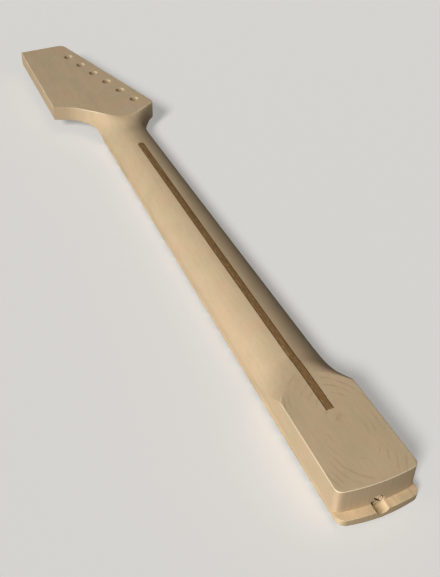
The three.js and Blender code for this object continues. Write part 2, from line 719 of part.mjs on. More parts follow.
function fret(number) {
  const x = fretX(number);
  const profile = arcPoints(0, 0, 1, 0, Math.PI, CROWN_STEPS).map((point) => {
    return [point.x * FRET_CROWN_WIDTH / 2, FIT_GAP + point.y * FRET_CROWN_HEIGHT];
  });
  const crown = barAcross(x, profile, fretPlaces(x));
  const tangTop = FIT_GAP + FRET_CROWN_HEIGHT / 2;
  const tang = tangBar(x, FRET_TANG_THICKNESS, FRET_TANG_DEPTH, tangTop, slotReach(x) - FIT_GAP);
  return piece(`fret_${String(number).padStart(2, '0')}`, crown.add(tang), nickelSilver);
}

// The board before its slots and dots are cut
function boardBlank() {
  const edges = Array.from({ length: BOARD_FACETS + 1 }, (_, i) => facetY(i));
  const crown = edges.map((y) => new THREE.Vector2(y, crownZ(y)));
  const section = [
    new THREE.Vector2(facetY(0), GLUE_Z),
    ...crown,
    new THREE.Vector2(facetY(BOARD_FACETS), GLUE_Z),
  ];
  const outline = neckOutline(BOARD_END_X, TONGUE_CORNER_RADIUS);
  return sectionSlab(section, BOARD_END_X - OVERRUN, FACE_SWEEP_X + FACE_SWEEP_RUN)
    .intersect(planSlab(outline, BOARD_TOP_Z - OVERRUN, GLUE_Z + OVERRUN))
    .intersect(backForm())
    .subtract(faceWaste());
}

function nutSlot() {
  const floor = BOARD_TOP_Z + NUT_SLOT_DEPTH;
  const points = [
    new THREE.Vector2(NUT_X, floor),
    new THREE.Vector2(NUT_X, BOARD_TOP_Z - OVERRUN),
    new THREE.Vector2(NUT_X + STRING_NUT_THICKNESS, BOARD_TOP_Z - OVERRUN),
    new THREE.Vector2(NUT_X + STRING_NUT_THICKNESS, floor),
  ];
  return sideSlab(points, -HEEL_WIDTH, HEEL_WIDTH);
}

// Where the dots go: half way to the fret before, and to which side of the middle
function dotPlaces() {
  const dot = (number, side, ending) => ({
    name: `${String(number).padStart(2, '0')}${ending}`,
    x: (fretX(number) + fretX(number - 1)) / 2,
    side,
  });
  const single = SINGLE_DOT_FRETS.filter((number) => number <= FRET_COUNT);
  return [
    ...single.map((number) => dot(number, 0, '')),
    dot(DOUBLE_DOT_FRET, -1, '_bass'),
    dot(DOUBLE_DOT_FRET, 1, '_treble'),
  ];
}

function faceDotBar(place, gap) {
  const y = place.side * DOUBLE_DOT_SPACING / 2;
  const floor = crownZ(y) + FACE_DOT_DEPTH - gap;
  return barDown(FACE_DOT_DIAMETER / 2 - gap, BOARD_TOP_Z - OVERRUN, floor, place.x, y);
}

function sideDotBar(place, gap) {
  const x = place.x + place.side * SIDE_DOT_PAIR_SPACING / 2;
  const outer = -halfWidth(x) - OVERRUN;
  const inner = SIDE_DOT_DEPTH - halfWidth(x) - gap;
  const bar = roundBar(SIDE_DOT_DIAMETER / 2 - gap, inner - outer, ROD_SIDES);
  const z = (GLUE_Z + crownZ(-halfWidth(x))) / 2;
  return solid(bar.translate(x, (inner + outer) / 2, z));
}

function fretboard(blank) {
  const frets = Array.from({ length: FRET_COUNT }, (_, i) => fretX(i + 1));
  const body = cut(blank, [
    ...frets.map(fretSlot),
    nutSlot(),
    accessBore(),
    rodPassage(),
    ...dotPlaces().map((place) => faceDotBar(place, 0)),
    ...dotPlaces().map((place) => sideDotBar(place, 0)),
  ]);
  return piece('fretboard', body, boardMaple);
}

function positionDots(blank) {
  return dotPlaces().flatMap((place) => [
    piece(`face_dot_${place.name}`, faceDotBar(place, FIT_GAP).intersect(blank), blackPlastic),
    piece(`side_dot_${place.name}`, sideDotBar(place, FIT_GAP).intersect(blank), blackPlastic),
  ]);
}

// A bone nut with a rounded shoulder at each end and a notch for each string
function stringNut() {
  const half = halfWidth(NUT_X) - FRET_END_INSET;
  const base = BOARD_TOP_Z + NUT_SLOT_DEPTH - FIT_GAP;
  const shoulder = half - NUT_SHOULDER_RADIUS;
  const top = (y) => crownZ(y) - STRING_NUT_HEIGHT;
  const shoulderZ = top(shoulder) + NUT_SHOULDER_RADIUS;
  const turn = arcPoints(shoulder, shoulderZ, NUT_SHOULDER_RADIUS, -Math.PI / 2, 0, CORNER_STEPS);
  const mirrored = turn.map(({ x, y }) => new THREE.Vector2(-x, y)).reverse();
  const notches = Array.from({ length: STRING_COUNT }, (_, i) => {
    const y = STRING_SPAN * (i / (STRING_COUNT - 1) - 1 / 2);
    const side = STRING_NOTCH_WIDTH / 2;
    return [
      new THREE.Vector2(y - side, top(y - side)),
      new THREE.Vector2(y, top(y) + STRING_NOTCH_DEPTH),
      new THREE.Vector2(y + side, top(y + side)),
    ];
  });
  const outline = [
    new THREE.Vector2(half, base),
    new THREE.Vector2(-half, base),
    ...mirrored,
    ...notches.flat(),
    ...turn,
  ];
  const start = NUT_X + FIT_GAP;
  const body = sectionSlab(outline, start, NUT_X + STRING_NUT_THICKNESS - FIT_GAP);
  return piece('string_nut', body, bone);
}

const blank = boardBlank();
const guitarNeck = new THREE.Group();
guitarNeck.add(
  neckShaft(),
  fretboard(blank),
  ...Array.from({ length: FRET_COUNT }, (_, i) => fret(i + 1)),
  stringNut(),
  ...positionDots(blank),
  backStripe(),
  headstockPlug(),
  trussRod(),
  trussRodAnchor(),
  trussRodWasher(),
  trussRodNut(),
);

export default guitarNeck;
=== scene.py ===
"""Dresses a bare, unfinished electric guitar neck: maple, walnut, fret wire, bone, plastic and steel."""

import json
import math

import bmesh
import bpy
from mathutils import Matrix, Vector


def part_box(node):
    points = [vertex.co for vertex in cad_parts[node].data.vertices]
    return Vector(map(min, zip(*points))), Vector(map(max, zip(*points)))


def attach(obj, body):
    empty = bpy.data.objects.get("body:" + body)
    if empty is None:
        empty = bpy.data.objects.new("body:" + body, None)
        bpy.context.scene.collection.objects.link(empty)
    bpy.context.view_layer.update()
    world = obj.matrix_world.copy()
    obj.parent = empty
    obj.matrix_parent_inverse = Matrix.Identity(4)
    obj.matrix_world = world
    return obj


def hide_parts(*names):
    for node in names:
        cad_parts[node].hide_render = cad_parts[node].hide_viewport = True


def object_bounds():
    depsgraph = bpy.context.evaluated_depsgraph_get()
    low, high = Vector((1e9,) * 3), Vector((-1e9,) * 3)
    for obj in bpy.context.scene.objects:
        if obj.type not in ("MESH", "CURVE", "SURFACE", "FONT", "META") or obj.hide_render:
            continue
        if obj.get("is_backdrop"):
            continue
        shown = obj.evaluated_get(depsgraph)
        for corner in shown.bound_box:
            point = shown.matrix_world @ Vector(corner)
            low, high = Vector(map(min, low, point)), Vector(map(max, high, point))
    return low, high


bl_info = {
    "name": "Guitar neck",
    "version": (1, 0, 0),
    "blender": (4, 5, 0),
    "location": "View3D > Sidebar > Guitar neck",
    "description": "Models and finishes the pieces of an unfinished bolt-on guitar neck",
    "category": "Object",
}

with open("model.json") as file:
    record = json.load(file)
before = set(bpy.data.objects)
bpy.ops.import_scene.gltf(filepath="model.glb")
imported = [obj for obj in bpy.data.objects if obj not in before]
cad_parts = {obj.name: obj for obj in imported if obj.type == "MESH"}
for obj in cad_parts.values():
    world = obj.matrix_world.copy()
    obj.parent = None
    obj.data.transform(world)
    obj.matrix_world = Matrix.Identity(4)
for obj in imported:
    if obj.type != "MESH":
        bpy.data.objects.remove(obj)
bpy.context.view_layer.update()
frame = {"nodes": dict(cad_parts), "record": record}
FRET_NAMES = sorted(name for name in frame["nodes"] if name.startswith("fret_"))
DOT_NAMES = sorted(name for name in frame["nodes"] if "_dot_" in name)
OPENINGS = frame["record"]["physics"]["openings"]
TUNER_BOXES = [opening["box_m"] for opening in OPENINGS if opening["name"].startswith("tuner_hole")]
TUNER_HOLES = [Vector(((low[0] + high[0]) / 2, (low[1] + high[1]) / 2)) for low, high in TUNER_BOXES]
BOARD_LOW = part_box("fretboard")[0]

# Sizes of the solids that their boxes don't give
TUNER_RADIUS = 0.00435
HEAD_FACE_Z = -0.0141
BOARD_RADIUS = 0.2413

# The distances within which a point is at a place, close to it or beside it, and half the width of
# all that belongs to the bore for the rod's nut
AT = 0.00002
CLOSE = 0.0001
BESIDE = 0.0004
BORE_REACH = 0.0049

# How far up or down the normal of a face points: an upright one and a leaning one at most, and a
# level one at least
UPRIGHT = 0.02
LEANING = 0.2
LEVEL = 0.9

# For a mesh that is cleaned up: how near two points lie that become one, how nearly level two faces
# are that become one, and how nearly level a patch is whose triangles may be evened out
JOIN_REACH = 0.000004
WHOLE_ANGLE = math.radians(0.05)
EVEN_ANGLE = math.radians(1)

# A bit of rim that is shorter than this share of the rounding would turn it inside out
SHORTEST_RIM = 0.7

# The blank of fret wire, which is longer than any fret, and how much of a fret's end a file reaches
WIRE_HALF_LENGTH = 0.032
CROWN_POINTS = 24
BEND_STEPS = 24
FILED_LENGTH = 0.0015

# How far glue has soaked into the walnut, how far down the rod nut's slots the painted shade starts, and how
# bright handled metal is beside clean metal
GLUE_WIDTH = 0.0007
GLUE_FADE = 0.0005
SLOT_SHADE_START = 0.0002
SLOT_SHADE_FADE = 0.0003
HANDLED_SHARE = 0.6

# Where the soft lamps stand, what the two nearer the heel point at, and how soft they are
KEY_PLACE = (-0.7, 0.75, 0.74)
KEY_ANGLE = math.radians(16)
FILL_PLACE = (-1.3, 0.1, 0.45)
FILL_ANGLE = math.radians(70)
HEEL_LAMP_PLACE = (-0.25, 0.93, 0.36)
HEEL_LAMP_SIZE = 0.4
HEEL_TARGET = (0.1, 0, 0)
SKY_TINT = (1, 0.97, 0.93)

# The floor lies a hair below the frets, and throws less light back up than it shows
FLOOR_SIZE = 8
FLOOR_MIDDLE_X = 0.3
FLOOR_DROP = 0.0001
FLOOR_BOUNCE = (0.12, 0.115, 0.11)

# Where the photograph was taken from, and the camera's azimuth, elevation and roll in radians
CAMERA_PLACE = (-0.275531, 0.214472, 0.395463)
CAMERA_AZIMUTH = -0.427
CAMERA_ELEVATION = 0.693
CAMERA_ROLL = 0.028


def linear(code):
    """The linear colour of an sRGB hex code such as D8BE94."""
    shares = [int(code[i:i + 2], 16) / 255 for i in range(0, 6, 2)]
    return tuple(s / 12.92 if s <= 0.04045 else ((s + 0.055) / 1.055) ** 2.4 for s in shares)


def colour_property(name, description, code):
    return bpy.props.FloatVectorProperty(
        name=name, description=description, subtype="COLOR", size=3, min=0, max=1, default=linear(code)
    )


def length_property(name, description, default):
    return bpy.props.FloatProperty(
        name=name, description=description, unit="LENGTH", precision=5, min=0, default=default
    )


def stage_property(name, description, default, **kind):
    return bpy.props.FloatProperty(name=name, description=description, min=0, default=default, **kind)


class NeckSizes(bpy.types.PropertyGroup):
    """Sizes of what Blender adds to the solids."""

    edge_round: length_property("Edge rounding", "Radius sanded on the outline's edges", 0.0006)
    rim_round: length_property("Rim rounding", "Radius on the rims of the drilled holes", 0.00025)
    board_round: length_property("Board rounding", "Radius sanded on the board's edges", 0.0004)
    nut_round: length_property("String nut rounding", "Radius on the string nut's edges", 0.0002)
    steel_round: length_property("Steel rounding", "Radius on the edges of the rod's nut", 0.00012)
    tang_thickness: length_property("Tang thickness", "Thickness of the fret wire's tang", 0.0005)
    tang_depth: length_property("Tang depth", "How far the tang reaches into its slot", 0.0015)
    tang_inset: length_property("Tang inset", "How far the tang stops short of the fret's ends", 0.00145)
    fret_bevel: length_property("Fret bevel", "How far the filed end of a fret leans in", 0.00075)
    fret_end_height: length_property("Fret end height", "Height of the fret's end below its bevel", 0.00024)
    fret_file_round: length_property("Fret end rounding", "Radius filed on the rim of a fret's end", 0.00012)


class NeckColours(bpy.types.PropertyGroup):
    """Colours of the finishes."""

    maple: colour_property("Maple", "Early wood of the neck", "DAC19C")
    maple_pink: colour_property("Maple blush", "The pinkish patches in the maple", "DDBB98")
    board: colour_property("Board maple", "Early wood of the board", "EFD1A7")
    maple_late: colour_property("Maple growth line", "Thin late wood lines of the maple", "A97F5C")
    maple_shade: colour_property("Maple figure", "The duller patches in the maple", "D0BA94")
    maple_edge_highlight: colour_property("Maple edge highlight", "Painted highlight on the rounded edges round the back", "FBEACB")
    maple_end: colour_property("Maple end grain", "Maple cut across the fibres", "BDA685")
    walnut: colour_property("Walnut", "The filler over the rod", "8F6D45")
    walnut_pale: colour_property("Walnut dash", "Pale dashes in the walnut", "B18D60")
    walnut_dark: colour_property("Walnut streak", "Streaks, pores and glue lines of the walnut", "4E3415")
    nickel: colour_property("Nickel silver", "Fret wire", "C9C5BA")
    bone: colour_property("Bone", "String nut", "E9DFC6")
    bone_streak: colour_property("Bone streak", "The duller streaks in the bone", "CDBE9B")
    plastic: colour_property("Black plastic", "Position dots", "1D1B1A")
    plastic_dust: colour_property("Plastic dust", "Sanding dust in the scratches of the dots", "5B564F")
    rod_steel: colour_property("Drawn steel", "The rod and its anchor", "84878B")
    # Painted shade: the dark colour put in the slots of the rod's nut
    plating: colour_property("Zinc plate", "The rod's nut and washer", "D8CFB8")
    slot_shade: colour_property("Painted slot shade", "Painted shade in the slots of the rod's nut", "241D17")
    floor: colour_property("Floor", "The pale floor", "EFEDE9")
    backdrop: colour_property("Backdrop", "Background, as bright as the lit floor looks", "D6D4D0")


class NeckStage(bpy.types.PropertyGroup):
    """Light and camera."""

    key: stage_property("Key", "Strength of the main soft light", 1.8)
    fill: stage_property("Fill", "Strength of the weak light from the heel's end", 0.25)
    heel_power: stage_property("Heel light", "Power of the lamp near the heel", 6.2, unit="POWER")
    ambient: stage_property("Ambient", "Strength of the light from all round", 0.05)
    floor_glow: stage_property("Floor glow", "Extra brightness that the camera sees in the floor", 0.36)
    lens: stage_property("Lens", "Focal length", 52.5, subtype="DISTANCE_CAMERA")


def feed(tree, node, values):
    """Gives each named input of a node a value, or a link from another node's output."""
    for name, value in values.items():
        if isinstance(value, bpy.types.NodeSocket):
            tree.links.new(value, node.inputs[name])
        else:
            node.inputs[name].default_value = value


def add(tree, kind, values=None, **settings):
    """Adds a node, sets its settings and feeds its inputs."""
    node = tree.nodes.new(kind)
    for name, value in settings.items():
        setattr(node, name, value)
    feed(tree, node, values or {})
    return node


def blank_material(name):
    """A new material, its node tree and its shader."""
    material = bpy.data.materials.new(name)
    material.use_nodes = True
    return material, material.node_tree, material.node_tree.nodes["Principled BSDF"]


def opaque(colour):
    """A colour with full alpha, as nodes take it."""
    return (*colour, 1)


def only_select(piece):
    bpy.ops.object.select_all(action="DESELECT")
    piece.select_set(True)
    bpy.context.view_layer.objects.active = piece


def edit(piece):
    """Edit mode on one piece with nothing selected in it."""
    only_select(piece)
    bpy.ops.object.mode_set(mode="EDIT")
    bpy.ops.mesh.select_mode(type="EDGE")
    bpy.ops.mesh.select_all(action="DESELECT")


def done():
    bpy.ops.object.mode_set(mode="OBJECT")


def joined_copy(node, name):
    """A copy of a CAD node with its loose triangles joined and its flat faces made whole."""
    piece = bpy.data.objects.new(name, frame["nodes"][node].data.copy())
    piece.data.name = name
    bpy.context.scene.collection.objects.link(piece)
    only_select(piece)
    bpy.ops.mesh.customdata_custom_splitnormals_clear()
    edit(piece)
    bpy.ops.mesh.select_all(action="SELECT")
    bpy.ops.mesh.remove_doubles(threshold=JOIN_REACH)
    bpy.ops.mesh.dissolve_limited(angle_limit=WHOLE_ANGLE)
    done()
    return piece


def bevel_where(piece, test, width, segments=3):
    """Rounds the edges of a piece that pass a test."""
    edit(piece)
    chosen = [e for e in bmesh.from_edit_mesh(piece.data).edges if len(e.link_faces) == 2 and test(e)]
    if not chosen:
        raise RuntimeError(f"{piece.name} has no edge to round")
    for edge in chosen:
        edge.select_set(True)
    bpy.ops.mesh.bevel(
        offset=width, offset_type="OFFSET", segments=segments, affect="EDGES", clamp_overlap=False
    )
    done()


def smooth(piece, degrees=30):
    """Smooth shading that keeps the flat faces flat, with the many-sided ones cut into even triangles."""
    edit(piece)
    bpy.ops.mesh.select_face_by_sides(number=4, type="GREATER", extend=False)
    bpy.ops.mesh.quads_convert_to_tris(quad_method="BEAUTY", ngon_method="BEAUTY")
    bpy.ops.mesh.beautify_fill(angle_limit=EVEN_ANGLE)
    done()
    only_select(piece)
    bpy.ops.object.shade_smooth_by_angle(angle=math.radians(degrees))
    weighted = piece.modifiers.new("flat faces", "WEIGHTED_NORMAL")
    weighted.keep_sharp = True
    bpy.ops.object.modifier_apply(modifier=weighted.name)


def finish_piece(piece, material, slot, body, *nodes):
    """Gives a piece its material and body and lets it stand for its CAD nodes."""
    piece.data.materials.clear()
    piece.data.materials.append(material)
    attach(piece, body)
    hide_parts(*nodes)


def dress(node, material):
    """Gives a CAD node that stays a better material."""
    for holder in frame["nodes"][node].material_slots:
        holder.material = material


def ends(edge):
    """The places of an edge's two points."""
    return [vertex.co for vertex in edge.verts]


def sharp(edge, degrees):
    """Whether the surface turns outwards at an edge by more than an angle."""
    return edge.calc_face_angle_signed() > math.radians(degrees)


def near(value, target, reach=AT):
    """Whether two measures are the same within a reach."""
    return abs(value - target) < reach


def maple_ground(tree, spot, early, seed):
    """The maple's colours in patches some 20 mm long and 12 mm wide, and where its ovals break up."""
    colours = bpy.context.scene.neck_colours
    cloud = add(
        tree, "ShaderNodeMapping", {"Vector": spot, "Location": (seed, 0, 0), "Scale": (45, 80, 80)}
    )
    patch = add(
        tree, "ShaderNodeTexNoise",
        {"Vector": cloud.outputs[0], "Scale": 1, "Detail": 3, "Roughness": 0.55},
    )
    share = add(tree, "ShaderNodeSeparateColor", {"Color": patch.outputs["Color"]}).outputs
    ground = opaque(early)
    for amount, colour in ((share["Red"], colours.maple_pink), (share["Green"], colours.maple_shade)):
        patchy = add(
            tree, "ShaderNodeMapRange", {"Value": amount, "From Min": 0.42, "From Max": 0.7, "To Max": 0.75}
        )
        ground = add(
            tree, "ShaderNodeMix", {"Factor": patchy.outputs[0], "A": ground, "B": opaque(colour)},
            data_type="RGBA",
        ).outputs["Result"]
    broken = add(
        tree, "ShaderNodeMapRange", {"Value": share["Blue"], "From Min": 0.46, "From Max": 0.64},
        interpolation_type="SMOOTHSTEP",
    )
    return ground, broken.outputs[0]


def maple_rings(tree, spot, centre, stretch, seed):
    """Late wood in rings round a centre, pushed about by a few millimetres so that none is even."""
    heart = add(
        tree, "ShaderNodeMapping",
        {"Vector": spot, "Location": [-c * s for c, s in zip(centre, stretch)], "Scale": stretch},
    )
    slow = add(
        tree, "ShaderNodeMapping", {"Vector": spot, "Location": (0, seed, 0), "Scale": (22, 48, 48)}
    )
    wander = add(
        tree, "ShaderNodeTexNoise", {"Vector": slow.outputs[0], "Scale": 1, "Detail": 3, "Roughness": 0.5}
    )
    sway = add(
        tree, "ShaderNodeVectorMath", {0: wander.outputs["Color"], 1: (0.5, 0.5, 0.5)},
        operation="SUBTRACT",
    )
    push = add(
        tree, "ShaderNodeVectorMath", {0: sway.outputs[0], 1: (0.6, 0.6, 0.6)}, operation="MULTIPLY"
    )
    pushed = add(
        tree, "ShaderNodeVectorMath", {0: heart.outputs[0], 1: push.outputs[0]}, operation="ADD"
    )
    rings = add(
        tree, "ShaderNodeTexWave", {"Vector": pushed.outputs[0], "Scale": 1, "Distortion": 0},
        wave_type="RINGS", rings_direction="SPHERICAL", wave_profile="SAW",
    )
    late = add(
        tree, "ShaderNodeMapRange",
        {"Value": rings.outputs["Fac"], "From Min": 0.56, "From Max": 1, "To Max": 0.3},
        interpolation_type="SMOOTHERSTEP",
    )
    return late.outputs[0]


def maple_fibres(tree, spot, seed):
    """Fibres and broader bands, and the tone that they give the wood."""
    # Fibres 0.3 mm wide and 12 mm long, coarser than real ones so that they show
    fine = add(
        tree, "ShaderNodeMapping",
        {"Vector": spot, "Location": (seed, 0, seed), "Scale": (80, 3200, 3200)},
    )
    fibre = add(
        tree, "ShaderNodeTexNoise",
        {"Vector": fine.outputs[0], "Scale": 1, "Detail": 3, "Roughness": 0.65},
    )
    broad = add(
        tree, "ShaderNodeMapping", {"Vector": spot, "Location": (0, seed, seed), "Scale": (14, 420, 420)}
    )
    band = add(
        tree, "ShaderNodeTexNoise",
        {"Vector": broad.outputs[0], "Scale": 1, "Detail": 2, "Roughness": 0.5},
    )
    faint = add(tree, "ShaderNodeMath", {0: band.outputs["Fac"], 1: 0.5}, operation="MULTIPLY")
    strand = add(
        tree, "ShaderNodeMath", {0: fibre.outputs["Fac"], 1: faint.outputs[0]}, operation="ADD"
    )
    tone = add(
        tree, "ShaderNodeMapRange",
        {"Value": strand.outputs[0], "From Min": 0.45, "From Max": 1.05, "To Min": 0.93, "To Max": 1.06},
    )
    return fibre.outputs["Fac"], tone.outputs[0]


def cutter_lines(tree, spot):
    """Lines about 1 mm apart that a cutter leaves up and down the end grain."""
    upright = add(tree, "ShaderNodeMapping", {"Vector": spot, "Scale": (0, 900, 12)})
    cutter = add(
        tree, "ShaderNodeTexNoise",
        {"Vector": upright.outputs[0], "Scale": 1, "Detail": 2, "Roughness": 0.6},
    )
    lines = add(
        tree, "ShaderNodeMapRange",
        {"Value": cutter.outputs["Fac"], "From Min": 0.3, "From Max": 0.7, "To Min": 0.9, "To Max": 1.08},
    )
    return lines.outputs[0]


def ray_flecks(tree, spot):
    """Darker flecks about 1.5 mm long and 0.2 mm wide."""
    dash = add(tree, "ShaderNodeMapping", {"Vector": spot, "Scale": (650, 4200, 4200)})
    speck = add(tree, "ShaderNodeTexNoise", {"Vector": dash.outputs[0], "Scale": 1, "Detail": 0})
    fleck = add(
        tree, "ShaderNodeMapRange",
        {"Value": speck.outputs["Fac"], "From Min": 0.66, "From Max": 0.8, "To Max": -0.14},
        interpolation_type="SMOOTHSTEP",
    )
    return fleck.outputs[0]


# Bare sanded maple: pale cream wood, near plain, with soft pinkish and duller patches, fine fibres
# along the neck and short ray flecks. Where the cut runs level with the growth rings they show as
# faint brown ovals. Wood cut across the fibres is greyer, with the cutter's lines up and down it.
# The rounded edges round the flat of the back get a painted highlight.
def maple_material(name, early, centre, stretch, full_to, none_from, seed):
    """The ovals lie round a centre, stretched by counts per metre, and fade out between two places in x."""
    colours = bpy.context.scene.neck_colours
    material, tree, shader = blank_material(name)
    place = add(tree, "ShaderNodeTexCoord").outputs
    spot = place["Object"]
    axes = add(tree, "ShaderNodeSeparateXYZ", {"Vector": spot}).outputs
    facing = add(tree, "ShaderNodeSeparateXYZ", {"Vector": place["Normal"]}).outputs
    wood, broken = maple_ground(tree, spot, early, seed)
    fade = add(
        tree, "ShaderNodeMapRange",
        {"Value": axes["X"], "From Min": full_to, "From Max": none_from, "To Min": 1, "To Max": 0.12},
        interpolation_type="SMOOTHSTEP",
    )
    # Only the flat-sawn faces show ovals; the upright sides have straight grain
    turned = add(tree, "ShaderNodeMath", {0: facing["Z"]}, operation="ABSOLUTE")
    sawn = add(
        tree, "ShaderNodeMapRange", {"Value": turned.outputs[0], "From Min": 0.45, "From Max": 0.95}
    )
    ovals = maple_rings(tree, spot, centre, stretch, seed)
    for share in (broken, fade.outputs[0], sawn.outputs[0]):
        ovals = add(tree, "ShaderNodeMath", {0: ovals, 1: share}, operation="MULTIPLY").outputs[0]
    # Painted highlight: the rounded edges round the flat of the back are painted paler
    tilted = add(
        tree, "ShaderNodeMapRange",
        {"Value": facing["Z"], "From Min": 0.96, "From Max": 0.85, "To Max": 0.8},
    )
    high = add(
        tree, "ShaderNodeMapRange", {"Value": axes["Z"], "From Min": -0.0008, "From Max": -0.0004}
    )
    edge = add(tree, "ShaderNodeMath", {0: tilted.outputs[0], 1: high.outputs[0]}, operation="MULTIPLY")
    # Wood that faces along the neck is end grain
    along = add(tree, "ShaderNodeMath", {0: facing["X"]}, operation="ABSOLUTE")
    cut = add(
        tree, "ShaderNodeMapRange", {"Value": along.outputs[0], "From Min": 0.6, "From Max": 0.95},
        interpolation_type="SMOOTHSTEP",
    )
    # The painted edge highlight is mixed in here, along with the growth lines and the end grain
    for share, colour in (
        (ovals, colours.maple_late), (edge.outputs[0], colours.maple_edge_highlight),
        (cut.outputs[0], colours.maple_end),
    ):
        wood = add(
            tree, "ShaderNodeMix", {"Factor": share, "A": wood, "B": opaque(colour)}, data_type="RGBA"
        ).outputs["Result"]
    fibre, tone = maple_fibres(tree, spot, seed)
    grain = add(
        tree, "ShaderNodeMix", {"Factor": cut.outputs[0], "A": tone, "B": cutter_lines(tree, spot)}
    )
    value = add(
        tree, "ShaderNodeMath", {0: grain.outputs["Result"], 1: ray_flecks(tree, spot)}, operation="ADD"
    )
    tinted = add(tree, "ShaderNodeHueSaturation", {"Value": value.outputs[0], "Color": wood})
    rough = add(
        tree, "ShaderNodeMapRange",
        {"Value": fibre, "From Min": 0.3, "From Max": 0.7, "To Min": 0.6, "To Max": 0.74},
    )
    bump = add(tree, "ShaderNodeBump", {"Height": fibre, "Strength": 0.3, "Distance": 0.00005})
    feed(tree, shader, {
        "Base Color": tinted.outputs[0], "Roughness": rough.outputs[0], "Normal": bump.outputs[0],
        "Specular IOR Level": 0.1,
    })
    return material


# Sanded walnut: brown with darker streaks, paler dashes and open pores drawn out along the grain,
# and darker still along the sides of the filler, where glue has soaked in.
def walnut_material(name, node):
    """Walnut as wide as a CAD node, with its glue lines along the node's sides."""
    colours = bpy.context.scene.neck_colours
    material, tree, shader = blank_material(name)
    spot = add(tree, "ShaderNodeTexCoord").outputs["Object"]
    # Streaks 1 mm wide and 40 mm long, dashes 0.7 mm by 4 mm, pores 0.3 mm by 5 mm
    wide = add(tree, "ShaderNodeMapping", {"Vector": spot, "Scale": (26, 900, 900)})
    streak = add(
        tree, "ShaderNodeTexNoise", {"Vector": wide.outputs[0], "Scale": 1, "Detail": 3, "Roughness": 0.6}
    )
    short = add(
        tree, "ShaderNodeMapping", {"Vector": spot, "Location": (7, 0, 0), "Scale": (240, 1400, 1400)}
    )
    dashes = add(
        tree, "ShaderNodeTexNoise", {"Vector": short.outputs[0], "Scale": 1, "Detail": 2, "Roughness": 0.6}
    )
    thin = add(tree, "ShaderNodeMapping", {"Vector": spot, "Scale": (190, 2800, 2800)})
    pores = add(tree, "ShaderNodeTexNoise", {"Vector": thin.outputs[0], "Scale": 1, "Detail": 1})
    shade = add(
        tree, "ShaderNodeMapRange",
        {"Value": streak.outputs["Fac"], "From Min": 0.4, "From Max": 0.75, "To Max": 0.6},
    )
    pale = add(
        tree, "ShaderNodeMapRange", {"Value": dashes.outputs["Fac"], "From Min": 0.5, "From Max": 0.68}
    )
    pore = add(
        tree, "ShaderNodeMapRange",
        {"Value": pores.outputs["Fac"], "From Min": 0.55, "From Max": 0.7, "To Max": 0.75},
        interpolation_type="SMOOTHSTEP",
    )
    axes = add(tree, "ShaderNodeSeparateXYZ", {"Vector": spot}).outputs
    off = add(tree, "ShaderNodeMath", {0: axes["Y"]}, operation="ABSOLUTE")
    glue_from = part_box(node)[1].y - GLUE_WIDTH
    glue = add(
        tree, "ShaderNodeMapRange",
        {"Value": off.outputs[0], "From Min": glue_from, "From Max": glue_from + GLUE_FADE},
        interpolation_type="SMOOTHSTEP",
    )
    deep = add(
        tree, "ShaderNodeMath", {0: shade.outputs[0], 1: pore.outputs[0]}, operation="MAXIMUM"
    )
    # The dark streaks and pores fade towards the heel, so the walnut is paler there
    heelward_fade = add(
        tree, "ShaderNodeMapRange",
        {"Value": axes["X"], "From Min": 0.02, "From Max": 0.2, "To Min": 0.15},
    )
    clear = add(
        tree, "ShaderNodeMath", {0: deep.outputs[0], 1: heelward_fade.outputs[0]}, operation="MULTIPLY"
    )
    dark = add(
        tree, "ShaderNodeMath", {0: clear.outputs[0], 1: glue.outputs[0]}, operation="MAXIMUM"
    )
    lit = add(
        tree, "ShaderNodeMix",
        {"Factor": pale.outputs[0], "A": opaque(colours.walnut), "B": opaque(colours.walnut_pale)},
        data_type="RGBA",
    )
    colour = add(
        tree, "ShaderNodeMix",
        {"Factor": dark.outputs[0], "A": lit.outputs["Result"], "B": opaque(colours.walnut_dark)},
        data_type="RGBA",
    )
    bump = add(
        tree, "ShaderNodeBump", {"Height": pore.outputs[0], "Strength": 0.4, "Distance": 0.00008},
        invert=True,
    )
    feed(tree, shader, {
        "Base Color": colour.outputs["Result"], "Roughness": 0.7, "Normal": bump.outputs[0],
        "Specular IOR Level": 0.12,
    })
    return material


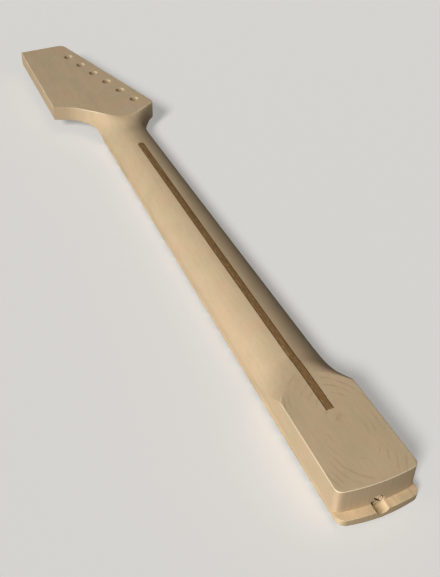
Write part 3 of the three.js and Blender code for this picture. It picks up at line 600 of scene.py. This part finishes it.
# Metal drawn, turned or plated: its own colour in every reflection, fine lines along the way it was
# worked, and duller patches some 6 mm wide where it has been handled. The lines are coarser than real
# ones, so that they show.
def metal_material(name, colour, stretch, roughness, dulling, slot_shade_from=None):
    """The stretch counts lines per metre along x, y and z; past slot_shade_from in x the metal is painted
    dark, as painted shade in the slots.
    """
    material, tree, shader = blank_material(name)
    spot = add(tree, "ShaderNodeTexCoord").outputs["Object"]
    lines = add(tree, "ShaderNodeMapping", {"Vector": spot, "Scale": stretch})
    scratch = add(
        tree, "ShaderNodeTexNoise", {"Vector": lines.outputs[0], "Scale": 1, "Detail": 3, "Roughness": 0.6}
    ).outputs["Fac"]
    patches = add(tree, "ShaderNodeTexNoise", {"Vector": spot, "Scale": 160, "Detail": 3})
    dull = add(
        tree, "ShaderNodeMapRange",
        {"Value": patches.outputs["Fac"], "From Min": 0.4, "From Max": 0.7, "To Max": dulling},
    )
    skin = add(
        tree, "ShaderNodeMix",
        {"Factor": dull.outputs[0], "A": opaque(colour), "B": opaque([c * HANDLED_SHARE for c in colour])},
        data_type="RGBA",
    ).outputs["Result"]
    metallic = 1
    # Deeper in x than the nut's face, the metal turns dark and dull: painted shade in its slots and bore
    if slot_shade_from is not None:
        slot_shade = bpy.context.scene.neck_colours.slot_shade
        axes = add(tree, "ShaderNodeSeparateXYZ", {"Vector": spot}).outputs
        metallic = add(
            tree, "ShaderNodeMapRange",
            {"Value": axes["X"], "From Min": slot_shade_from + SLOT_SHADE_FADE, "From Max": slot_shade_from, "To Min": 0.1},
        ).outputs[0]
        skin = add(
            tree, "ShaderNodeMix", {"Factor": metallic, "A": opaque(slot_shade), "B": skin}, data_type="RGBA"
        ).outputs["Result"]
    rough = add(
        tree, "ShaderNodeMapRange",
        {
            "Value": scratch, "From Min": 0.3, "From Max": 0.7,
            "To Min": roughness - 0.06, "To Max": roughness + 0.08,
        },
    )
    bump = add(tree, "ShaderNodeBump", {"Height": scratch, "Strength": 0.25, "Distance": 0.00002})
    feed(tree, shader, {
        "Base Color": skin, "Metallic": metallic, "Roughness": rough.outputs[0], "Normal": bump.outputs[0],
    })
    return material


# Sanded bone: warm ivory with faint streaks along the nut, and a soft low gloss.
def bone_material(name):
    colours = bpy.context.scene.neck_colours
    material, tree, shader = blank_material(name)
    spot = add(tree, "ShaderNodeTexCoord").outputs["Object"]
    # Streaks 0.4 mm wide and 4 mm long
    lines = add(tree, "ShaderNodeMapping", {"Vector": spot, "Scale": (2600, 260, 2600)})
    streak = add(tree, "ShaderNodeTexNoise", {"Vector": lines.outputs[0], "Scale": 1, "Detail": 3})
    shade = add(
        tree, "ShaderNodeMapRange",
        {"Value": streak.outputs["Fac"], "From Min": 0.35, "From Max": 0.75, "To Max": 0.45},
    )
    colour = add(
        tree, "ShaderNodeMix",
        {"Factor": shade.outputs[0], "A": opaque(colours.bone), "B": opaque(colours.bone_streak)},
        data_type="RGBA",
    )
    bump = add(
        tree, "ShaderNodeBump", {"Height": streak.outputs["Fac"], "Strength": 0.2, "Distance": 0.00003}
    )
    feed(tree, shader, {
        "Base Color": colour.outputs["Result"], "Roughness": 0.42, "Normal": bump.outputs[0],
    })
    return material


# Black cellulose plastic sanded level with the wood: near black, dulled by fine scratches along the neck.
def plastic_material(name):
    colours = bpy.context.scene.neck_colours
    material, tree, shader = blank_material(name)
    spot = add(tree, "ShaderNodeTexCoord").outputs["Object"]
    # Scratches 0.1 mm wide and 2 mm long, coarser than real ones so that they show
    lines = add(tree, "ShaderNodeMapping", {"Vector": spot, "Scale": (500, 9000, 9000)})
    scratch = add(tree, "ShaderNodeTexNoise", {"Vector": lines.outputs[0], "Scale": 1, "Detail": 2})
    dust = add(
        tree, "ShaderNodeMapRange",
        {"Value": scratch.outputs["Fac"], "From Min": 0.5, "From Max": 0.8, "To Max": 0.3},
    )
    colour = add(
        tree, "ShaderNodeMix",
        {"Factor": dust.outputs[0], "A": opaque(colours.plastic), "B": opaque(colours.plastic_dust)},
        data_type="RGBA",
    )
    bump = add(
        tree, "ShaderNodeBump", {"Height": scratch.outputs["Fac"], "Strength": 0.2, "Distance": 0.00002}
    )
    feed(tree, shader, {
        "Base Color": colour.outputs["Result"], "Roughness": 0.45, "Normal": bump.outputs[0],
    })
    return material


class NECK_OT_shaft(bpy.types.Operator):
    """Rounds the edges of the maple shaft, heel and headstock and gives the wood its grain"""

    bl_idname = "guitar_neck.shaft"
    bl_label = "Maple shaft"

    def execute(self, context):
        sizes = context.scene.neck_sizes
        piece = joined_copy("neck_shaft", "maple_shaft")
        stripe_low, stripe_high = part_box("back_stripe")

        def rim(edge):
            return any(
                all(near((p.xy - hole).length, TUNER_RADIUS, CLOSE) for p in ends(edge))
                for hole in TUNER_HOLES
            )

        def in_slot(edge):
            return all(
                abs(p.y) < stripe_high.y + BESIDE and p.x > stripe_low.x - BESIDE for p in ends(edge)
            )

        def outline(edge):
            at_back = all(near(p.z, 0) for p in ends(edge))
            at_face = all(near(p.z, HEAD_FACE_Z) for p in ends(edge))
            walled = any(abs(face.normal.z) < UPRIGHT for face in edge.link_faces)
            return walled and sharp(edge, degrees=60) and (at_back or at_face)

        edit(piece)
        for edge in bmesh.from_edit_mesh(piece.data).edges:
            edge.select_set(outline(edge) and edge.calc_length() < SHORTEST_RIM * sizes.edge_round)
        bpy.ops.mesh.merge(type="COLLAPSE")
        done()
        bevel_where(
            piece, lambda edge: outline(edge) and not rim(edge) and not in_slot(edge), sizes.edge_round
        )
        bevel_where(piece, lambda edge: outline(edge) and rim(edge), sizes.rim_round, segments=2)
        smooth(piece)
        # The ovals lie in the heel, where the flat cut meets the rings; the shaft and headstock are plain
        wood = maple_material(
            "sanded maple neck", context.scene.neck_colours.maple, centre=(0.006, -0.004, -0.03),
            stretch=(46, 88, 26), full_to=0.03, none_from=0.1, seed=3.1,
        )
        finish_piece(piece, wood, "maple", "neck", "neck_shaft")
        return {"FINISHED"}


class NECK_OT_board(bpy.types.Operator):
    """Eases the edges of the maple fretboard and gives the wood its grain"""

    bl_idname = "guitar_neck.board"
    bl_label = "Maple fretboard"

    def execute(self, context):
        piece = joined_copy("fretboard", "maple_board")
        heel_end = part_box("neck_shaft")[0]

        def side(face):
            return abs(face.normal.z) < LEANING and max(v.co.z for v in face.verts) > heel_end.z - CLOSE

        def rim(edge):
            played = any(face.normal.z < -LEVEL for face in edge.link_faces)
            tongue = all(near(p.z, heel_end.z) and p.x < heel_end.x - BESIDE for p in ends(edge))
            bore = all(abs(p.y) < BORE_REACH for p in ends(edge))
            return (played or tongue) and any(side(face) for face in edge.link_faces) and not bore

        bevel_where(piece, rim, context.scene.neck_sizes.board_round)
        smooth(piece)
        # Long narrow ovals down the playing face
        wood = maple_material(
            "sanded maple board", context.scene.neck_colours.board, centre=(0.11, 0.006, -0.01),
            stretch=(4, 60, 40), full_to=0.2, none_from=0.5, seed=7.7,
        )
        finish_piece(piece, wood, "board_maple", "neck", "fretboard")
        return {"FINISHED"}


class NECK_OT_inlays(bpy.types.Operator):
    """Finishes the walnut filler over the rod and the plug in the headstock's face"""

    bl_idname = "guitar_neck.inlays"
    bl_label = "Walnut filler and plug"

    def execute(self, context):
        for node, name, wood in (
            ("back_stripe", "walnut_stripe", "sanded walnut filler"),
            ("headstock_plug", "walnut_plug", "sanded walnut plug"),
        ):
            piece = joined_copy(node, name)
            smooth(piece)
            finish_piece(piece, walnut_material(wood, node), "walnut", "neck", node)
        return {"FINISHED"}


class NECK_OT_frets(bpy.types.Operator):
    """Draws one length of fret wire, bends it to the board and cuts, files and seats every fret"""

    bl_idname = "guitar_neck.frets"
    bl_label = "Fret wire"

    def wire(self, context):
        """The crown of a bent length of wire at x = 0, longer than any fret, with its round side down."""
        low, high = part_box(FRET_NAMES[0])
        width, height = high.x - low.x, BOARD_LOW.z - low.z
        seat = (0, 0, BOARD_LOW.z)
        bpy.ops.object.select_all(action="DESELECT")
        bpy.ops.mesh.primitive_circle_add(
            vertices=CROWN_POINTS, radius=width / 2, fill_type="NGON", location=seat,
            rotation=(math.pi / 2, 0, 0),
        )
        piece = context.active_object
        bpy.ops.object.transform_apply(location=True, rotation=True, scale=True)
        bpy.ops.object.mode_set(mode="EDIT")
        bpy.ops.mesh.select_mode(type="EDGE")
        bpy.ops.mesh.select_all(action="SELECT")
        bpy.ops.mesh.bisect(plane_co=seat, plane_no=(0, 0, 1), clear_outer=True)
        bpy.ops.mesh.select_all(action="SELECT")
        bpy.ops.transform.resize(value=(1, 1, 2 * height / width), center_override=seat)
        bpy.ops.mesh.select_all(action="SELECT")
        reach = WIRE_HALF_LENGTH / BOARD_RADIUS
        bend = (0, 0, BOARD_LOW.z + BOARD_RADIUS)
        bpy.ops.mesh.spin(steps=BEND_STEPS, angle=2 * reach, center=bend, axis=(1, 0, 0))
        bpy.ops.mesh.select_all(action="SELECT")
        bpy.ops.mesh.remove_doubles(threshold=JOIN_REACH)
        bpy.ops.mesh.normals_make_consistent(inside=False)
        done()
        middle = sum(v.co.y for v in piece.data.vertices) / len(piece.data.vertices)
        turn = Matrix.Rotation(-math.copysign(reach, middle), 4, "X")
        piece.matrix_world = Matrix.Translation(bend) @ turn @ Matrix.Translation([-c for c in bend])
        bpy.ops.object.transform_apply(location=True, rotation=True, scale=True)
        return piece

    def tang(self, piece, reach, sizes):
        """Draws the tang out of the flat of the wire, nipped short of its ends."""
        middle = sum(v.co.x for v in piece.data.vertices) / len(piece.data.vertices)
        half = sizes.tang_thickness / 2
        cuts = [((middle + side * half, 0, 0), (1, 0, 0)) for side in (-1, 1)]
        cuts += [((0, side * reach, 0), (0, 1, 0)) for side in (-1, 1)]

        def pick(test):
            bpy.ops.mesh.select_all(action="DESELECT")
            for face in bmesh.from_edit_mesh(piece.data).faces:
                if face.normal.z > LEVEL and test(face.calc_center_median()):
                    face.select_set(True)

        edit(piece)
        bpy.ops.mesh.select_mode(type="FACE")
        for place, normal in cuts:
            pick(lambda centre: True)
            bpy.ops.mesh.bisect(plane_co=place, plane_no=normal)
        pick(lambda centre: abs(centre.x - middle) < half and abs(centre.y) < reach)
        bpy.ops.mesh.extrude_region_move(TRANSFORM_OT_translate={"value": (0, 0, sizes.tang_depth)})
        done()

    def cut(self, piece, place, normal):
        """Cuts a piece through by a plane, closes it and drops what lies on the plane's outer side."""
        edit(piece)
        bpy.ops.mesh.select_all(action="SELECT")
        bpy.ops.mesh.bisect(
            plane_co=place, plane_no=Vector(normal).normalized(), use_fill=True, clear_outer=True
        )
        done()

    def seat(self, blank, name, material, sizes):
        """Cuts one fret from the blank, square and then bevelled, and seats it over its slot."""
        low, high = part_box(name)
        piece = bpy.data.objects.new(name.replace("fret_", "wire_"), blank.data.copy())
        bpy.context.scene.collection.objects.link(piece)
        piece.location.x = (low.x + high.x) / 2
        only_select(piece)
        bpy.ops.object.transform_apply(location=True, rotation=False, scale=False)
        half = (high.y - low.y) / 2
        board_z = BOARD_LOW.z + BOARD_RADIUS - math.sqrt(BOARD_RADIUS ** 2 - half ** 2)
        bevel_rise = board_z - low.z - sizes.fret_end_height
        for side in (-1, 1):
            self.cut(piece, (0, side * half, 0), (0, side, 0))
            shoulder = (0, side * half, board_z - sizes.fret_end_height)
            self.cut(piece, shoulder, (0, side * bevel_rise, -sizes.fret_bevel))
        self.tang(piece, half - sizes.tang_inset, sizes)

        def filed(edge):
            return sharp(edge, degrees=20) and all(
                abs(p.y) > half - FILED_LENGTH and p.z < board_z - CLOSE for p in ends(edge)
            )

        bevel_where(piece, filed, sizes.fret_file_round, segments=2)
        smooth(piece, degrees=35)
        finish_piece(piece, material, "nickel_silver", "neck", name)

    def execute(self, context):
        # Nickel silver wire: warm white metal with fine drawn lines, 6 mm long, along the wire
        material = metal_material(
            "drawn nickel silver wire", context.scene.neck_colours.nickel, stretch=(7000, 160, 7000),
            roughness=0.26, dulling=0.25,
        )
        blank = self.wire(context)
        for name in FRET_NAMES:
            self.seat(blank, name, material, context.scene.neck_sizes)
        bpy.data.objects.remove(blank)
        return {"FINISHED"}


class NECK_OT_string_nut(bpy.types.Operator):
    """Eases the edges of the bone string nut"""

    bl_idname = "guitar_neck.string_nut"
    bl_label = "Bone string nut"

    def execute(self, context):
        sizes = context.scene.neck_sizes
        piece = joined_copy("string_nut", "bone_nut")
        bevel_where(piece, lambda edge: sharp(edge, degrees=40), sizes.nut_round, segments=2)
        smooth(piece, degrees=40)
        finish_piece(piece, bone_material("sanded bone"), "bone", "neck", "string_nut")
        return {"FINISHED"}


class NECK_OT_dots(bpy.types.Operator):
    """Gives the position dots their sanded plastic"""

    bl_idname = "guitar_neck.dots"
    bl_label = "Position dots"

    def execute(self, context):
        material = plastic_material("sanded black plastic")
        for name in DOT_NAMES:
            dress(name, material)
        return {"FINISHED"}


class NECK_OT_rod(bpy.types.Operator):
    """Finishes the truss rod, its anchor, washer and adjusting nut"""

    bl_idname = "guitar_neck.rod"
    bl_label = "Truss rod parts"

    def execute(self, context):
        sizes, colours = context.scene.neck_sizes, context.scene.neck_colours
        # Drawn steel bar: grey and half dull, with lines 5 mm long along the bar
        drawn = metal_material(
            "drawn steel bar", colours.rod_steel, stretch=(200, 6000, 6000), roughness=0.45, dulling=0.5
        )
        for name in ("truss_rod", "truss_rod_anchor"):
            dress(name, drawn)
        # Zinc plate: pale, faintly yellow and cloudy, and in the nut's slots painted dark as shade
        plate = {"stretch": (3000, 3000, 3000), "roughness": 0.36, "dulling": 0.35}
        # The rod nut's slots get painted shade from a little behind its face
        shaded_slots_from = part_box("truss_rod_nut")[0].x + SLOT_SHADE_START
        plated = metal_material("dull zinc plate", colours.plating, **plate)
        slotted = metal_material("zinc plate with painted slot shade", colours.plating, **plate, slot_shade_from=shaded_slots_from)
        washer = joined_copy("truss_rod_washer", "steel_washer")
        smooth(washer)
        finish_piece(washer, plated, "plated_steel", "neck", "truss_rod_washer")
        nut = joined_copy("truss_rod_nut", "steel_nut")
        bevel_where(nut, lambda edge: sharp(edge, degrees=40), sizes.steel_round, segments=2)
        smooth(nut)
        finish_piece(nut, slotted, "plated_steel", "rod_nut", "truss_rod_nut")
        return {"FINISHED"}


class NECK_OT_stage(bpy.types.Operator):
    """Sets the pale floor, the soft lights and the camera"""

    bl_idname = "guitar_neck.stage"
    bl_label = "Stage"

    def seen(self, tree):
        """1 for a ray from the camera, straight or by way of metal or glass, and 0 for any other."""
        rays = add(tree, "ShaderNodeLightPath").outputs
        seen = rays["Is Camera Ray"]
        for kind in ("Is Glossy Ray", "Is Transmission Ray"):
            seen = add(tree, "ShaderNodeMath", {0: seen, 1: rays[kind]}, operation="MAXIMUM").outputs[0]
        return seen

    def floor(self, context):
        """Matt pale paper: plain and bright to the camera, duller to the light it would throw back up."""
        stage, colours = context.scene.neck_stage, context.scene.neck_colours
        bpy.ops.object.select_all(action="DESELECT")
        bpy.ops.mesh.primitive_plane_add(
            size=FLOOR_SIZE, location=(FLOOR_MIDDLE_X, 0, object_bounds()[0].z - FLOOR_DROP)
        )
        floor = context.active_object
        floor.name = "floor"
        material, tree, shader = blank_material("pale paper")
        feed(tree, shader, {
            "Base Color": opaque(colours.floor), "Roughness": 0.9, "Specular IOR Level": 0.1,
            "Emission Color": opaque(colours.floor), "Emission Strength": stage.floor_glow,
        })
        dim = add(tree, "ShaderNodeBsdfDiffuse", {"Color": opaque(FLOOR_BOUNCE)})
        both = add(
            tree, "ShaderNodeMixShader", {0: self.seen(tree), 1: dim.outputs[0], 2: shader.outputs[0]}
        )
        feed(tree, tree.nodes["Material Output"], {"Surface": both.outputs[0]})
        floor.data.materials.append(material)
        floor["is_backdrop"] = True
        return floor

    def backdrop(self, context):
        """A weak warm light from all round, and the plain colour that the camera sees behind the floor."""
        world = bpy.data.worlds.new("studio")
        context.scene.world = world
        world.use_nodes = True
        tree = world.node_tree
        soft = tree.nodes["Background"]
        feed(tree, soft, {"Color": opaque(SKY_TINT), "Strength": context.scene.neck_stage.ambient})
        plain = add(
            tree, "ShaderNodeBackground",
            {"Color": opaque(context.scene.neck_colours.backdrop), "Strength": 1},
        )
        both = add(
            tree, "ShaderNodeMixShader", {0: self.seen(tree), 1: soft.outputs[0], 2: plain.outputs[0]}
        )
        feed(tree, tree.nodes["World Output"], {"Surface": both.outputs[0]})

    def lamp(self, name, kind, strength, place, target, **settings):
        """A soft lamp at a place, pointed at a target."""
        bpy.ops.object.light_add(type=kind, location=place)
        lamp = bpy.context.active_object
        lamp.name = name
        lamp.data.energy = strength
        for setting, value in settings.items():
            setattr(lamp.data, setting, value)
        lamp.rotation_euler = (Vector(target) - Vector(place)).to_track_quat("-Z", "Y").to_euler()
        return lamp

    def camera(self, context):
        """A camera where the photograph was taken from."""
        run = math.cos(CAMERA_ELEVATION)
        forward = Vector((
            run * math.cos(CAMERA_AZIMUTH), run * math.sin(CAMERA_AZIMUTH), -math.sin(CAMERA_ELEVATION)
        ))
        level = forward.cross(Vector((0, 0, 1))).normalized()
        above = level.cross(forward)
        right = math.cos(CAMERA_ROLL) * level + math.sin(CAMERA_ROLL) * above
        up = math.cos(CAMERA_ROLL) * above - math.sin(CAMERA_ROLL) * level
        bpy.ops.object.camera_add()
        camera = context.active_object
        turn = Matrix((right, up, -forward)).transposed().to_4x4()
        camera.matrix_world = Matrix.Translation(CAMERA_PLACE) @ turn
        camera.data.lens = context.scene.neck_stage.lens
        camera.data.sensor_width = 36
        camera.data.clip_start = 0.01
        camera.data.clip_end = 20
        context.scene.camera = camera

    def execute(self, context):
        stage = context.scene.neck_stage
        floor = self.floor(context)
        self.lamp("key", "SUN", stage.key, KEY_PLACE, (0, 0, 0), angle=KEY_ANGLE)
        self.lamp("fill", "SUN", stage.fill, FILL_PLACE, HEEL_TARGET, angle=FILL_ANGLE)
        heel = self.lamp(
            "heel", "AREA", stage.heel_power, HEEL_LAMP_PLACE, HEEL_TARGET, size=HEEL_LAMP_SIZE
        )
        # The lamp near the heel would make a hot spot on the floor, so the floor takes no light from it
        kept_off = bpy.data.collections.new("kept off the heel light")
        kept_off.objects.link(floor)
        kept_off.collection_objects[0].light_linking.link_state = "EXCLUDE"
        heel.light_linking.receiver_collection = kept_off
        self.backdrop(context)
        self.camera(context)
        context.scene.view_settings.view_transform = "Standard"
        return {"FINISHED"}


class NECK_PT_panel(bpy.types.Panel):
    """Lists the pieces and their sizes, colours and light"""

    bl_label = "Guitar neck"
    bl_idname = "NECK_PT_panel"
    bl_space_type = "VIEW_3D"
    bl_region_type = "UI"
    bl_category = "Guitar neck"

    def draw(self, context):
        for step in STEPS:
            self.layout.operator(step.bl_idname)
        for group in (context.scene.neck_sizes, context.scene.neck_colours, context.scene.neck_stage):
            box = self.layout.box()
            for name in group.bl_rna.properties.keys():
                if name not in ("rna_type", "name"):
                    box.prop(group, name)


STEPS = (
    NECK_OT_shaft, NECK_OT_board, NECK_OT_inlays, NECK_OT_frets, NECK_OT_string_nut, NECK_OT_dots,
    NECK_OT_rod, NECK_OT_stage,
)
GROUPS = {"neck_sizes": NeckSizes, "neck_colours": NeckColours, "neck_stage": NeckStage}
CLASSES = (*GROUPS.values(), *STEPS, NECK_PT_panel)


def register():
    for kind in CLASSES:
        bpy.utils.register_class(kind)
    for name, kind in GROUPS.items():
        setattr(bpy.types.Scene, name, bpy.props.PointerProperty(type=kind))


def unregister():
    for name in GROUPS:
        delattr(bpy.types.Scene, name)
    for kind in reversed(CLASSES):
        bpy.utils.unregister_class(kind)


def main():
    register()
    bpy.ops.guitar_neck.shaft()
    bpy.ops.guitar_neck.board()
    bpy.ops.guitar_neck.inlays()
    bpy.ops.guitar_neck.frets()
    bpy.ops.guitar_neck.string_nut()
    bpy.ops.guitar_neck.dots()
    bpy.ops.guitar_neck.rod()
    bpy.ops.guitar_neck.stage()


if __name__ == "__main__":
    main()
